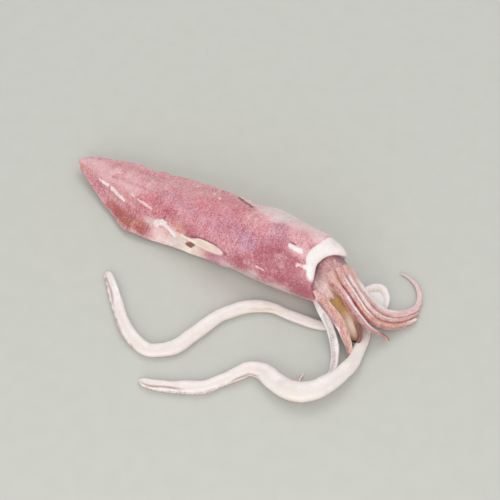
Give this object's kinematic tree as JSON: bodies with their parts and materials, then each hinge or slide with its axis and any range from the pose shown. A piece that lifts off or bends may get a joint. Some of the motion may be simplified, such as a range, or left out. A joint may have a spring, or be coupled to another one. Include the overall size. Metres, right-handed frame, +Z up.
{
  "type": "whole raw squid",
  "caption": "Whole raw squid lying on its belly, with a pink mottled mantle, draped fins, head, curled arms and long pale tentacles.",
  "frame": {"origin": "on the table plane, in the middle of the flat stretch of belly that the mantle rests on", "axes": "+X along the mantle from the tail to the head, +Z up, the tentacles lie towards -Y"},
  "size_m": [0.3522, 0.2127, 0.0516],
  "materials": {
    "mantle_skin": "wet, mottled pink and dark red skin over white flesh",
    "fin_skin": "wet, brownish red speckled skin, paler at the edge",
    "head_skin": "wet, thin salmon skin with fine dark speckles",
    "arm_skin": "wet, pink and ochre skin with pale sucker rows",
    "tentacle_flesh": "wet, translucent white flesh with a faint pink cast",
    "funnel_flesh": "wet, translucent pale flesh",
    "eye": "wet and glossy, dark with a silvery ring"
  },
  "bodies": {
    "root": {"mantle": "mantle_skin", "fin_left": "fin_skin", "fin_right": "fin_skin", "head": "head_skin", "eye_left": "eye", "eye_right": "eye", "funnel": "funnel_flesh", "arm_1_left": "arm_skin", "arm_2_left": "arm_skin", "arm_3_left": "arm_skin", "arm_4_left": "arm_skin", "tentacle_left": "tentacle_flesh", "arm_1_right": "arm_skin", "arm_2_right": "arm_skin", "arm_3_right": "arm_skin", "arm_4_right": "arm_skin", "tentacle_right": "tentacle_flesh"}
  },
  "joints": []
}
